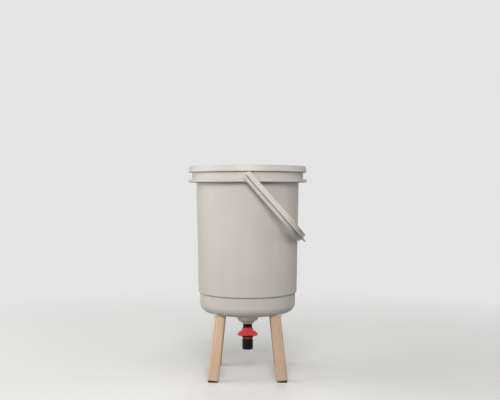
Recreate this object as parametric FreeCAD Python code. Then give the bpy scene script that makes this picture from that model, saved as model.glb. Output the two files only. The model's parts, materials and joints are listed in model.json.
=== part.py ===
import FreeCAD, Part
import math
import os

from FreeCAD import Placement, Rotation, Vector

# Kitchen bokashi bin: an open moulded bucket on four splayed wooden legs, with a bail handle,
# a lift-out drain strainer and a quarter-turn plug tap under its sump.
# Millimetres. Z is up, the floor is Z = 0, the bucket's axis is the Z axis, the front is -Y.

# Bucket heights, from the floor up
base_height = 153.5
bowl_height = 45.5
chamber_height = 269.2
lip_height = 6.6
band_height = 17.6
flange_height = 14.6

# Bucket radius at the foot of its wall, and the widths by which the other rings step out or in
waist_radius = 120.2
step_width = 3.7
wall_flare = 5.2
band_offset = 11.0
lip_width = 8.6
flange_width = 8.6
flange_flare = 2.8

# Bucket wall, edges and the fall of the bowl's floor to the drain
wall = 2.6
bowl_corner = 22.0
step_chamfer = 3.2
rim_chamfer = 1.4
floor_fall = 2.0

# Sump boss under the bowl, with the tap's socket in its collar
collar_wall = 5.42
collar_height = 5.2
sump_shoulder = 9.7
sump_land = 0.3
sump_wall = 4.7
sump_depth = 25.5
socket_depth = 15.2
drain_radius = 6.0

# Bail handle: a strap with a fin along the middle of its outer face
bail_reach = 201.4
bail_width = 21.5
strap_thickness = 3.5
crown_radius = 300.0
bail_corner = 60.0
arm_clearance = 3.0
bail_tail = 5.8
bail_end_rounding = 3.0
fin_thickness = 2.8
fin_depth = 11.0
fin_root = 8.0
fin_tail = 4.5
pivot_drop = 1.9
stud_radius = 5.0
stud_length = 8.0
stud_boss_wall = 4.0
hub_clearance = 0.6
wall_clearance = 0.4

# Drain strainer on the ledge inside the step
strainer_thickness = 2.6
strainer_clearance = 0.8
slot_width = 4.0
slot_start = 20.0
slot_bridge = 8.0
slot_rings = 3
strainer_ribs = 6
rib_thickness = 2.2
rib_depth = 6.0

# Legs, their bosses, bolts, inserts and pads
leg_width = 25.5
leg_rounding = 4.5
leg_splay = 5.9
leg_inset = 1.9
leg_seat_drop = 3.0
boss_margin = 2.0
insert_radius = 5.5
insert_length = 12.0
bolt_radius = 4.0
bolt_length = 38.0
pad_height = 3.2
pad_inset = 1.0

# Tap: an upright tail and outlet with a barrel across them, in which the plug turns
tail_radius = 10.48
tap_drop = 23.3
washer_thickness = 2.0
plug_radius = 9.0
port_radius = 5.0
barrel_wall = 6.2
barrel_front = 20.0
barrel_back = 13.5
outlet_radius = 11.7
outlet_wall = 3.4
outlet_drop = 17.2
outlet_depth = 6.0
drive_square = 5.0
seal_section = 1.3
seal_margin = 2.6
clip_thickness = 1.0
clip_bite = 1.2
clip_width = 3.4
clip_opening = 7.0
plug_tail = 2.0
spout_collar_width = 1.18
spout_collar_height = 2.6
spout_radius = 13.22
spout_length = 23.2
spout_wall = 3.6

# Lever: a dome with two wings on a round, slotted hub, heights measured from its axis
dome_radius = 15.5
dome_rise = 2.0
wing_reach = 25.8
wing_width = 19.4
wing_base = 18.4
wing_rise = 8.4
tip_rise = 0.2
bar_drop = 3.6
lever_hub_radius = 12.9
lever_hub_length = 5.0
hub_slot = 4.4
hub_web = 1.4
lever_thickness = 7.5
lever_chamfer = 1.0
wing_tip_rounding = 2.2
wing_shoulder_rounding = 2.0

# Clearances between pieces
fixed_gap = 0.1
running_gap = 0.05
seat_gap = 0.3
end_gap = 0.5

# Levels and radii that follow from the sizes above
neck_radius = waist_radius + wall_flare
bowl_radius = waist_radius - step_width
band_radius = neck_radius + band_offset
lip_radius = band_radius + lip_width
flange_radius = band_radius + flange_width
rim_reach = max(lip_radius, flange_radius)
draft = wall_flare / chamber_height
step_z = base_height + bowl_height
lip_bottom = step_z + chamber_height
lip_top = lip_bottom + lip_height
flange_bottom = lip_top + band_height
rim_top = flange_bottom + flange_height
rim_under = rim_top - wall
ledge_z = step_z + wall
floor_low = base_height - floor_fall
sump_bottom = base_height - sump_depth
collar_bottom = sump_bottom - collar_height
socket_top = collar_bottom + socket_depth
socket_radius = tail_radius + fixed_gap
collar_radius = socket_radius + collar_wall
sump_radius = collar_radius + sump_shoulder
funnel_radius = sump_radius - sump_wall
pivot_z = lip_top + band_height / 2 - pivot_drop
tap_axis = collar_bottom - tap_drop
tail_top = socket_top - washer_thickness
barrel_radius = plug_radius + running_gap + barrel_wall
outlet_bore = outlet_radius - outlet_wall
tap_end = tap_axis - outlet_drop
seal_place = port_radius + seal_margin
clip_front = barrel_back + seat_gap
leg_offset = (bowl_radius - bowl_corner - leg_inset) / math.sqrt(2)
leg_seat_z = base_height - leg_seat_drop
splay_slope = math.tan(math.radians(leg_splay))
leg_length = (leg_seat_z - pad_height) * math.sqrt(1 + 2 * splay_slope**2)
FRONT = Vector(0, -1, 0)
UP = Vector(0, 0, 1)


def wall_radius(z):
    """Outer radius of the tapered wall at a height."""
    return waist_radius + draft * (z - step_z)


def rounded_face(corners, place):
    """Face with corners (a, b, rounding), each rounding a tangent arc; place puts a, b in space."""
    flat = [Vector(a, b, 0) for a, b, _ in corners]
    edges = []
    spans = []
    for index, (_, _, rounding) in enumerate(corners):
        here = flat[index]
        back = (flat[index - 1] - here).normalize()
        ahead = (flat[(index + 1) % len(flat)] - here).normalize()
        half = back.getAngle(ahead) / 2
        start = here + back * (rounding / math.tan(half))
        end = here + ahead * (rounding / math.tan(half))
        if rounding:
            middle = here + (back + ahead).normalize() * (rounding / math.sin(half) - rounding)
            points = [place(p.x, p.y) for p in (start, middle, end)]
            edges.append(Part.Arc(*points).toShape())
        spans.append((place(start.x, start.y), place(end.x, end.y)))
    for index, (_, end) in enumerate(spans):
        start = spans[(index + 1) % len(spans)][0]
        if end.distanceToPoint(start) > 1e-6:
            edges.append(Part.makeLine(end, start))
    return Part.Face(Part.Wire(Part.__sortEdges__(edges)))


def turned(corners):
    """Solid turned about the Z axis from a section of (radius, height, rounding) corners."""
    face = rounded_face(corners, lambda a, b: Vector(a, 0, b))
    return face.revolve(Vector(), UP, 360)


def ring(inner, outer, bottom, top):
    """Plain ring about the Z axis."""
    return turned([(inner, bottom, 0), (outer, bottom, 0), (outer, top, 0), (inner, top, 0)])


def rod(radius, start, end):
    """Cylinder between two points."""
    along = end - start
    return Part.makeCylinder(radius, along.Length, start, along)


def square_bar(width, rounding, bottom, top):
    """Square bar along Z with rounded long edges."""
    half = width / 2
    corners = [(a * half, b * half, rounding) for a, b in ((-1, -1), (1, -1), (1, 1), (-1, 1))]
    face = rounded_face(corners, lambda a, b: Vector(a, b, bottom))
    return face.extrude(Vector(0, 0, top - bottom))


def placed(shape, placement):
    """Copy of a shape moved to a placement."""
    moved = shape.copy()
    moved.Placement = placement.multiply(moved.Placement)
    return moved


def leg_places():
    """Name and frame of each leg: origin at its seat, local Z up along the leg."""
    for end, y in (("front", -1), ("back", 1)):
        for side, x in (("left", -1), ("right", 1)):
            seat = Vector(x * leg_offset, y * leg_offset, leg_seat_z)
            lean = Vector(-x * splay_slope, -y * splay_slope, 1)
            yield f"{end}_{side}", Placement(seat, Rotation(UP, lean))


def bucket():
    """Tapered wall, double rim and strainer ledge as one turned section, with bosses for the bail."""
    shell = turned([
        (bowl_radius - wall, step_z, 0),
        (wall_radius(step_z) - step_chamfer, step_z, 0),
        (wall_radius(step_z + step_chamfer), step_z + step_chamfer, 0),
        (wall_radius(rim_under), rim_under, 0),
        (band_radius - wall, rim_under, 0),
        (band_radius - wall, lip_top - wall, 0),
        (lip_radius - wall, lip_top - wall, 0),
        (lip_radius - wall, lip_bottom, 0),
        (lip_radius, lip_bottom, 0),
        (lip_radius, lip_top, 0),
        (band_radius, lip_top, 0),
        (band_radius, rim_under, 0),
        (flange_radius - flange_flare - wall, rim_under, 0),
        (flange_radius - wall, flange_bottom, 0),
        (flange_radius, flange_bottom, 0),
        (flange_radius - flange_flare, rim_top - rim_chamfer, 0),
        (flange_radius - flange_flare - rim_chamfer, rim_top, 0),
        (wall_radius(rim_top) - wall, rim_top, 0),
        (wall_radius(ledge_z) - wall, ledge_z, 0),
        (bowl_radius - wall, ledge_z, 0),
    ])
    bores = []
    for side in (FRONT, -FRONT):
        pivot = Vector(0, 0, pivot_z)
        root = pivot + side * (wall_radius(pivot_z) - wall / 2)
        boss_end = pivot + side * (band_radius - wall / 2)
        shell = shell.fuse(rod(stud_radius + stud_boss_wall, root, boss_end))
        blind = pivot + side * (band_radius - stud_length - end_gap)
        bores.append(rod(stud_radius + running_gap, blind, pivot + side * band_radius))
    return shell.cut(bores).removeSplitter()


def bowl_inside():
    """Space inside the bowl, which the leg pads may not reach into."""
    return turned([
        (0, floor_low + wall, 0),
        (funnel_radius, floor_low + wall, 0),
        (bowl_radius - wall, base_height + wall, bowl_corner - wall),
        (bowl_radius - wall, step_z, 0),
        (0, step_z, 0),
    ])


def bowl():
    """Bowl, sump and tap socket as one turned section, with a pad and an insert boss for each leg."""
    shell = turned([
        (socket_radius, collar_bottom, 0),
        (collar_radius, collar_bottom, 0),
        (collar_radius, sump_bottom, 0),
        (sump_radius, sump_bottom, sump_shoulder - sump_land),
        (sump_radius, floor_low, 0),
        (bowl_radius, base_height, bowl_corner),
        (bowl_radius, step_z, 0),
        (bowl_radius - wall, step_z, 0),
        (bowl_radius - wall, base_height + wall, bowl_corner - wall),
        (funnel_radius, floor_low + wall, 0),
        (drain_radius, socket_top + wall, 0),
        (drain_radius, socket_top, 0),
        (socket_radius, socket_top, 0),
    ])
    pads = []
    domes = []
    bores = []
    pad_width = leg_width + 2 * boss_margin
    for _, place in leg_places():
        pads.append(placed(square_bar(pad_width, leg_rounding + boss_margin, 0, bowl_corner), place))
        domes.append(placed(Part.makeCylinder(insert_radius + wall, insert_length + end_gap + wall), place))
        bores.append(placed(Part.makeCylinder(insert_radius + fixed_gap, insert_length + end_gap), place))
    outside = pads[0].multiFuse(pads[1:]).cut(bowl_inside())
    return shell.multiFuse([outside] + domes).cut(bores).removeSplitter()


def arch_face(half_width, reach, corner, crown, tail):
    """Face inside a U of straight arms, two corner arcs and a shallow crown arc, closed behind the pivots."""
    across = half_width - corner
    along = math.sqrt((crown - corner) ** 2 - across**2)
    lean = Vector(along, across, 0).normalize()
    centre = Vector(reach - crown + along, across, 0)
    bend = centre + Vector(0, corner, 0)
    middle = centre + (lean + Vector(0, 1, 0)).normalize() * corner
    join = centre + lean * corner

    def mirrored(point):
        return Vector(point.x, -point.y, 0)

    left_end = Vector(-tail, half_width, 0)
    edges = [
        Part.makeLine(left_end, bend),
        Part.Arc(bend, middle, join).toShape(),
        Part.Arc(join, Vector(reach, 0, 0), mirrored(join)).toShape(),
        Part.Arc(mirrored(join), mirrored(middle), mirrored(bend)).toShape(),
        Part.makeLine(mirrored(bend), mirrored(left_end)),
        Part.makeLine(mirrored(left_end), left_end),
    ]
    return Part.Face(Part.Wire(edges))


def slab(face, thickness):
    """Face in the XY plane thickened evenly to both sides."""
    solid = face.extrude(Vector(0, 0, thickness))
    solid.translate(Vector(0, 0, -thickness / 2))
    return solid


def bail_rest_angle():
    """Angle below the horizontal at which the strap's lower inner edge meets the wall."""
    inner = bail_reach - strap_thickness
    half = bail_width / 2
    along = inner + draft * half
    across = draft * inner - half
    target = wall_radius(pivot_z) + wall_clearance
    turn = math.atan2(across, along) + math.acos(target / math.hypot(along, across))
    return math.degrees(turn)


def bail_handle():
    inner_half = rim_reach + arm_clearance
    outer_half = inner_half + strap_thickness
    inner_reach = bail_reach - strap_thickness
    half = bail_width / 2
    outer = arch_face(outer_half, bail_reach, bail_corner, crown_radius, bail_tail)
    inner_corner = bail_corner - strap_thickness
    inner_crown = crown_radius - strap_thickness
    inner = arch_face(inner_half, inner_reach, inner_corner, inner_crown, bail_tail)
    strap = slab(outer.cut(inner), bail_width)
    side_view = rounded_face([
        (-bail_tail, -half, bail_end_rounding),
        (bail_reach, -half, 0),
        (bail_reach, half, 0),
        (-bail_tail, half, bail_end_rounding),
    ], lambda a, b: Vector(a, -outer_half, b))
    strap = strap.common(side_view.extrude(Vector(0, 2 * outer_half, 0)))
    fin_half = outer_half + fin_root
    fin_reach = bail_reach + fin_depth
    fin_outline = arch_face(fin_half, fin_reach, bail_corner + fin_root, crown_radius + fin_depth, fin_tail)
    fin = slab(fin_outline.cut(outer), fin_thickness)
    pieces = [fin]
    hub_radius = band_height / 2 - pivot_drop - hub_clearance
    for side in (FRONT, -FRONT):
        hub_end = side * (band_radius + hub_clearance)
        middle_of_strap = side * (inner_half + strap_thickness / 2)
        pieces.append(rod(hub_radius, hub_end, middle_of_strap))
        pieces.append(rod(stud_radius, side * (band_radius - stud_length), middle_of_strap))
    bail = strap.multiFuse(pieces).removeSplitter()
    return placed(bail, Placement(Vector(0, 0, pivot_z), Rotation(Vector(0, 1, 0), bail_rest_angle())))


def drain_strainer():
    radius = wall_radius(ledge_z) - wall - strainer_clearance
    skirt_radius = bowl_radius - wall - strainer_clearance
    skirt_inner = skirt_radius - rib_thickness
    bottom = ledge_z + seat_gap
    top = bottom + strainer_thickness
    pitch = (skirt_inner - slot_start) / slot_rings
    slots = []
    for index in range(slot_rings):
        count = strainer_ribs * (index + 2)
        near = slot_start + index * pitch
        far = near + pitch - slot_bridge
        half = slot_width / 2
        corners = [(near, -half, 0), (far, -half, 0), (far, half, 0), (near, half, 0)]
        slot = rounded_face(corners, lambda a, b: Vector(a, b, bottom))
        for turn in range(count):
            copy = slot.copy()
            copy.rotate(Vector(), UP, (turn + 0.5) * 360 / count)
            slots.append(copy)
    disc = Part.Face(Part.Wire(Part.makeCircle(radius, Vector(0, 0, bottom))))
    plate = disc.cut(slots).extrude(Vector(0, 0, strainer_thickness))
    below = [ring(skirt_inner, skirt_radius, bottom - rib_depth, top)]
    for turn in range(strainer_ribs):
        start = Vector(slot_width, -rib_thickness / 2, bottom - rib_depth)
        rib = Part.makeBox(skirt_inner, rib_thickness, rib_depth + strainer_thickness, start)
        rib.rotate(Vector(), UP, turn * 360 / strainer_ribs)
        below.append(rib.common(Part.makeCylinder(skirt_radius, top)))
    below.append(Part.makeCylinder(slot_start / 2, rib_depth, Vector(0, 0, bottom - rib_depth)))
    return plate.multiFuse(below).removeSplitter()


def leg():
    bar = square_bar(leg_width, leg_rounding, -leg_length, 0)
    return bar.cut(rod(bolt_radius + fixed_gap, Vector(0, 0, -bolt_length - end_gap), Vector()))


def foot_pad(place):
    """Wedge between the square-cut foot and the floor."""
    width = leg_width - 2 * pad_inset
    bar = square_bar(width, leg_rounding - pad_inset, -leg_length - 2 * pad_height, -leg_length)
    foot = place.multVec(Vector(0, 0, -leg_length))
    floor = Part.makeCylinder(2 * leg_width, leg_width, Vector(foot.x, foot.y, -leg_width))
    return placed(bar, place).cut(floor)


def leg_bolt():
    return rod(bolt_radius, Vector(0, 0, -bolt_length), Vector(0, 0, insert_length))


def leg_insert():
    return ring(bolt_radius + running_gap, insert_radius, 0, insert_length)


def each_leg(shape):
    """One copy of a shape at every leg, as separate solids."""
    return Part.makeCompound([placed(shape, place) for _, place in leg_places()])


def tap_washer():
    return ring(drain_radius, tail_radius - fixed_gap, tail_top, socket_top)


def tap_body():
    centre = Vector(0, 0, tap_axis)
    end = Vector(0, 0, tap_end)
    top = Vector(0, 0, tail_top)
    front = centre + FRONT * barrel_front
    back = centre - FRONT * barrel_back
    tail = rod(tail_radius, centre, top)
    outside = tail.multiFuse([rod(outlet_radius, end, centre), rod(barrel_radius, back, front)])
    port = rod(port_radius, end, top)
    plug_bore = rod(plug_radius + running_gap, back, front)
    spout_bore = rod(outlet_bore, end, end + UP * outlet_depth)
    return outside.cut([port, plug_bore, spout_bore]).removeSplitter()


def seal_groove(outer, middle):
    """Corners of a groove for a square-cut seal in a round face, from below the middle to above it."""
    inner = outer - seal_section - fixed_gap
    half = seal_section / 2 + fixed_gap
    low = middle - half
    high = middle + half
    return [(outer, low, 0), (inner, low, 0), (inner, high, 0), (outer, high, 0)]


def seal(outer, middle):
    """Square-cut seal that lies in the groove of that face."""
    half = seal_section / 2
    return ring(outer - seal_section, outer, middle - half, middle + half)


def across(shape):
    """Shape turned about the Z axis, laid along the tap's barrel with its top to the front."""
    return placed(shape, Placement(Vector(0, 0, tap_axis), Rotation(UP, FRONT)))


def tap_plug():
    """Plug with its port across the flow, seal grooves, drive square in front and clip groove behind."""
    groove_high = -clip_front + fixed_gap
    groove_low = -clip_front - clip_thickness - fixed_gap
    groove_radius = plug_radius - clip_bite
    end = groove_low - plug_tail
    plug = turned(
        [
            (0, end, 0),
            (plug_radius, end, 0),
            (plug_radius, groove_low, 0),
            (groove_radius, groove_low, 0),
            (groove_radius, groove_high, 0),
            (plug_radius, groove_high, 0),
        ]
        + seal_groove(plug_radius, -seal_place)
        + seal_groove(plug_radius, seal_place)
        + [(plug_radius, barrel_front, 0), (0, barrel_front, 0)]
    )
    drive = square_bar(drive_square, 0, 0, barrel_front + end_gap + lever_hub_length)
    side = Vector(plug_radius, 0, 0)
    return across(plug.fuse(drive).cut(rod(port_radius, -side, side)).removeSplitter())


def plug_seals():
    return Part.makeCompound([across(seal(plug_radius, side * seal_place)) for side in (-1, 1)])


def plug_clip():
    """Open spring clip in the plug's groove behind the barrel."""
    inner = plug_radius - clip_bite + fixed_gap
    clip = ring(inner, inner + clip_width, -clip_front - clip_thickness, -clip_front)
    mouth = Part.makeBox(clip_opening, inner + clip_width, clip_thickness)
    mouth.translate(Vector(-clip_opening / 2, -inner - clip_width, -clip_front - clip_thickness))
    return across(clip.cut(mouth))


def spout_seal_z():
    return tap_end + outlet_depth / 2


def tap_spout():
    spigot = outlet_bore - fixed_gap
    spigot_top = tap_end + outlet_depth - end_gap
    collar_radius_out = spout_radius + spout_collar_width
    collar_low = tap_end - spout_collar_height
    bottom = tap_end - spout_length
    bore = spout_radius - spout_wall
    return turned(
        [
            (port_radius, collar_low, 0),
            (bore, collar_low, 0),
            (bore, bottom, 0),
            (spout_radius, bottom, 0),
            (spout_radius, collar_low, 0),
            (collar_radius_out, collar_low, 0),
            (collar_radius_out, tap_end, 0),
            (spigot, tap_end, 0),
        ]
        + seal_groove(spigot, spout_seal_z())
        + [(spigot, spigot_top, 0), (port_radius, spigot_top, 0)]
    )


def spout_seal():
    return seal(outlet_bore - fixed_gap, spout_seal_z())


def tap_lever():
    back = barrel_front + seat_gap
    plate_back = back + lever_hub_length

    def front_view(a, b):
        return Vector(a, -plate_back, tap_axis + b)

    wings = rounded_face([
        (-wing_reach, tip_rise, wing_tip_rounding),
        (-wing_base, -bar_drop, 0),
        (wing_base, -bar_drop, 0),
        (wing_reach, tip_rise, wing_tip_rounding),
        (wing_width, wing_rise, wing_shoulder_rounding),
        (-wing_width, wing_rise, wing_shoulder_rounding),
    ], front_view)
    top = front_view(0, dome_rise)
    dome = rod(dome_radius, top, top + FRONT * lever_thickness)
    above = Part.makeBox(2 * dome_radius, lever_thickness, dome_radius + dome_rise + bar_drop)
    above.translate(front_view(-dome_radius, -bar_drop) + FRONT * lever_thickness)
    plate = wings.extrude(FRONT * lever_thickness).fuse(dome.common(above)).removeSplitter()
    front = -plate_back - lever_thickness
    edges = [edge for edge in plate.Edges if abs(edge.BoundBox.YMax - front) < 1e-6]
    plate = plate.makeChamfer(lever_chamfer, edges)
    centre = Vector(0, 0, tap_axis)
    hub = rod(lever_hub_radius, centre + FRONT * back, centre + FRONT * plate_back)
    slot = Part.makeBox(2 * lever_hub_radius, lever_hub_length - hub_web, hub_slot)
    slot.translate(front_view(-lever_hub_radius, -bar_drop - hub_slot))
    hub = hub.cut(slot)
    square = drive_square + 2 * fixed_gap
    socket_end = barrel_front + lever_hub_length + 2 * end_gap
    corner = Vector(-square / 2, -socket_end, tap_axis - square / 2)
    socket = Part.makeBox(square, socket_end, square, corner)
    return plate.fuse(hub).cut(socket).removeSplitter()


def write(name, shape):
    shape.exportStep(f"parts/{name}.step")


os.makedirs("parts", exist_ok=True)
write("bucket", bucket())
write("bowl", bowl())
write("bail_handle", bail_handle())
write("drain_strainer", drain_strainer())
for name, place in leg_places():
    write(f"leg_{name}", placed(leg(), place))
    write(f"foot_pad_{name}", foot_pad(place))
write("leg_bolts", each_leg(leg_bolt()))
write("leg_inserts", each_leg(leg_insert()))
write("tap_washer", tap_washer())
write("tap_body", tap_body())
write("tap_spout", tap_spout())
write("tap_lever", tap_lever())
write("tap_plug", tap_plug())
write("plug_seals", plug_seals())
write("plug_clip", plug_clip())
write("spout_seal", spout_seal())
print(f"bail rests {bail_rest_angle():.3f} degrees below the horizontal, pivot at {pivot_z:.2f}")
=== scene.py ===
import json
import math

import bmesh
import bpy
from mathutils import Matrix, Vector
from mathutils.geometry import delaunay_2d_cdt


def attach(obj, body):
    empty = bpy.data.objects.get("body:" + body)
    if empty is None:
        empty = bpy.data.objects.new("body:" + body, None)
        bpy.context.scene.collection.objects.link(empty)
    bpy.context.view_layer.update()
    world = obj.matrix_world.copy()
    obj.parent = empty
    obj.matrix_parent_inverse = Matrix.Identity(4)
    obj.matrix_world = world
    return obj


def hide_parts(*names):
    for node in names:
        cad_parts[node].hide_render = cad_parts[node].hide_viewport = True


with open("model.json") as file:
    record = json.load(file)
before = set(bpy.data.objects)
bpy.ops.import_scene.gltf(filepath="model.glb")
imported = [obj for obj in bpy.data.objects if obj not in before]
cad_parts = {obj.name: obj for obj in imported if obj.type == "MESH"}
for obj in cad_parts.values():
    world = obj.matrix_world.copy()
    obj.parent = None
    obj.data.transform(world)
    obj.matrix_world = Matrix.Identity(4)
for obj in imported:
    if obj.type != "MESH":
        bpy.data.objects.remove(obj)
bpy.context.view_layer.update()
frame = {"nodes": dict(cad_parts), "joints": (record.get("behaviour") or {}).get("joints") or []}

# Shared values. Lengths are in millimetres unless said otherwise: Z up, floor at 0, front to -Y.
MM = 0.001
UP = Vector((0, 0, 1))
FULL_TURN = 2 * math.pi
ON_AXIS = 0.01
SEAT_GAP = 0.3
JOINT_Z = {joint["name"]: joint["pos_m"][2] / MM for joint in frame["joints"] if "pos_m" in joint}
TO_FRONT = Matrix.Rotation(math.pi / 2, 4, "X")
TO_BACK = Matrix.Rotation(-math.pi / 2, 4, "X")

# Mesh finish: distance in metres at which points merge, angle of a sharp edge, and steps of a bevel
MERGE = 1e-7
SHARP_EDGE = math.radians(48)
BEVEL_STEPS = 2
NORMAL_WEIGHT = 60

# Triangulation of flat areas: which triangles it gives, and how near two points count as one
HULL_TRIANGLES = 0
INSIDE_TRIANGLES = 1
PLATE_TOLERANCE = 1e-6
CUSHION_TOLERANCE = 1e-5

# Bucket: a tapered wall with a ledge at its foot, and a lip, a band and a flange at its top
WALL = 2.6
WAIST_RADIUS = 120.2
WALL_FLARE = 5.2
CHAMBER_HEIGHT = 269.2
STEP_Z = 199.0
STEP_CHAMFER = 3.4
LEDGE_Z = STEP_Z + WALL
LIP_RADIUS = 145.0
LIP_Z = STEP_Z + CHAMBER_HEIGHT
LIP_HEIGHT = 6.6
BAND_RADIUS = 136.4
BAND_Z = LIP_Z + LIP_HEIGHT
BAND_HEIGHT = 17.6
FLANGE_FLARE = 2.8
FLANGE_Z = BAND_Z + BAND_HEIGHT
FLANGE_HEIGHT = 14.6
RIM_Z = FLANGE_Z + FLANGE_HEIGHT
BUCKET_SEGMENTS = 288

# Bowl under the step, with a seam rebate at its top and a hole for the sump
BOWL_RADIUS = 116.5
BOWL_INSIDE = BOWL_RADIUS - WALL
BOWL_CORNER = 22.0
BOWL_Z = 153.5
FLOOR_FALL = 2.0
FLOOR_TOP = 154.2
SEAM_HEIGHT = 2.0
SEAM_DEPTH = 1.5
SEAM_Z = STEP_Z - SEAM_HEIGHT
SUMP_HOLE = 25.2
SKIN_START = 28.0

# Sump boss: a round body, a groove and the collar that holds the tap
SUMP_RADIUS = 25.7
SUMP_CORNER = 8.0
SUMP_Z = 127.6
SUMP_EDGE_Z = 129.0
SUMP_SHOULDER_Z = 151.2
SUMP_PLUG = 25.0
SUMP_LAND = 17.2
COLLAR_RADIUS = 15.8
COLLAR_Z = 122.8
COLLAR_TOP = 125.4
COLLAR_GROOVE = 12.0
SOCKET_RADIUS = 10.58
SOCKET_TOP = 138.0
DRAIN_RADIUS = 6.0
FUNNEL_RADIUS = 21.0
FUNNEL_TOP = 154.1
FUNNEL_FOOT = 140.6
SUMP_SEGMENTS = 128

# Legs, splayed to the corners of a square, each drawn lighter or darker from light (0) to dark (1) in the
# order front left, front right, back left, back right
LEG_WIDTH = 25.5
LEG_ROUNDING = 4.5
LEG_SLOPE = math.tan(math.radians(5.9))
LEG_OFFSET = 65.478
LEG_SEAT_Z = 150.5
LEG_LENGTH = 148.86
LEG_TONES = (0.1, 0.8, 0.5, 0.3)

# Metres by which each leg's grain is shifted from the one before, and where the first one starts
BOARD_SHIFT = Vector((0.113, 0.071, 0.37))
BOARD_START = Vector((0, 0.02, 0))

# Rings of a leg: growth of its half width, rounding, place along the leg
LEG_RINGS = (
    (-0.6, 3.9, 0.0),
    (-0.15, 4.35, -0.25),
    (0.0, LEG_ROUNDING, -0.8),
    (0.0, LEG_ROUNDING, -50.0),
    (0.0, LEG_ROUNDING, -100.0),
    (0.0, LEG_ROUNDING, 1.2 - LEG_LENGTH),
    (-0.2, 4.3, 0.4 - LEG_LENGTH),
    (-0.7, 3.8, -LEG_LENGTH),
)

# Rings of a foot: growth over the leg's half width, rounding, share of the way to the floor
FOOT_RINGS = (
    (-1.45, 3.1, 0.0),
    (-1.1, 3.5, 0.12),
    (-1.1, 3.5, 0.55),
    (-1.4, 3.4, 0.84),
    (-2.05, 3.0, 1.0),
)

# Rings of the bowl's pad over a leg: growth, rounding, then height over the seat or drop from the skin
PAD_FOOT = ((-1.75, 3.0, 0.0), (1.4, 5.9, 0.0), (1.8, 6.3, 0.25), (2.0, 6.5, 0.9))
PAD_SKIRT = ((2.0, 6.5, 2.2), (2.15, 6.6, 1.2), (2.65, 7.1, 0.45), (3.55, 8.0, 0.0), (2.25, 7.0, -1.6))
PAD_LEAST = 1.0
PAD_SPREAD = 0.1
PAD_SEARCH = 30.0
PAD_HALVINGS = 40

# Bail: a strap with a fin along its outer face and a groove beside it, measured on its inner face
ARM_CLEARANCE = 3.0
BAIL_WIDTH = 21.5
BAIL_HALF = LIP_RADIUS + ARM_CLEARANCE
BAIL_REACH = 197.9
BAIL_CORNER = 56.5
BAIL_CROWN = 296.5
BAIL_TAIL = 5.8
BAIL_END = 3.0
BAIL_REST = math.radians(48.508)
BAIL_BEND_STEPS = 28
ARM_STATIONS = (0.0, 0.35, 0.9, 1.6, 2.4, 3.2, 4.4, 20.0, 40.0, 60.0, 80.0, 100.0, 120.0)
STRAP = 3.7
STRAP_FALL = 1.4
STRAP_EDGE = 0.8
FIN_HALF = 1.4
FIN_ROOT = 8.0
FIN_CROWN = 11.0
FIN_TIP = 1.25
FIN_TIP_LEAST = 0.02
FIN_LEAST = 0.25
FIN_START = 1.1
FIN_RAMP = 1.6
GROOVE_DEPTH = 1.6
GROOVE_SHARE = 0.3
GROOVE_WIDTH = 1.5
GROOVE_SLANT = 0.5

# Pivot stud and hub at each end of the bail, measured along the pivot's axis
STUD_RADIUS = 5.0
STUD_TIP = 136.5
HUB_TIP = 137.0
HUB_RADIUS = 6.3
HUB_NECK = 147.2
HUB_FLARE = 148.6
HUB_FLARE_RADIUS = 8.2
HUB_END = 149.6
HUB_SEGMENTS = 48

# Strainer: a slotted plate on the ledge, with a skirt, a boss and ribs below
STRAINER_RADIUS = 116.85
STRAINER_THICKNESS = 2.6
STRAINER_Z = LEDGE_Z + SEAT_GAP
STRAINER_TOP = STRAINER_Z + STRAINER_THICKNESS
STRAINER_SEGMENTS = 192
STRAINER_EASE = 0.3
SLOT_HALF = 2.0
SLOT_ROUNDING = 0.98 * SLOT_HALF
SLOT_START = 20.0
SLOT_BRIDGE = 8.0
SLOT_RINGS = 3
RIB_COUNT = 6
RIB_HALF = 1.1
RIB_START = 8.0
RIB_END = 112.0
RIB_DEPTH = 6.0
RIB_Z = STRAINER_Z - RIB_DEPTH
RIB_TOP = 203.0
SKIRT_RADIUS = 113.1
SKIRT_INSIDE = 110.9
MIDDLE_BOSS = 10.0
MIDDLE_SEGMENTS = 64

# Tap: a threaded tail, a neck and an outlet on the bin's axis, with the barrel across them
THREAD_PITCH = 1.814
THREAD_ROWS = 10
THREAD_RUNOUT = 0.9
RIDGE_SLOPE = 1.9
RIDGE_CUT = 0.15
PORT_RADIUS = 5.0
TAP_SEGMENTS = 96
TAP_DROP = 17.2
TAP_Z = JOINT_Z["tap_turn"]
TAP_END = TAP_Z - TAP_DROP
OUTLET_RADIUS = 11.7
OUTLET_TOP = 108.0
NECK_RADIUS = 11.1
NECK_Z = 110.0
NECK_TOP = 122.4
TAIL_CORE = 9.5
TAIL_Z = 123.4
TAIL_TOP = 136.0
TAIL_RADIUS = 10.48
TAIL_THREAD = (123.0, 135.4)
TAIL_THREAD_DEPTH = 1.0
BARREL_RADIUS = 15.25
BARREL_BORE = 9.1
BARREL_BACK = -13.5
BARREL_FRONT = 20.0
BARREL_GROOVE = 14.2
BARREL_GROOVE_EDGES = (14.6, 17.4)
BARREL_GROOVE_FLAT = (15.4, 16.6)
BARREL_FACE = 20.22
BARREL_FACE_BACK = 20.04
BARREL_FACE_HOLE = 4.6
BARREL_PLACE = Matrix.Translation((0, 0, TAP_Z)) @ TO_FRONT

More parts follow.
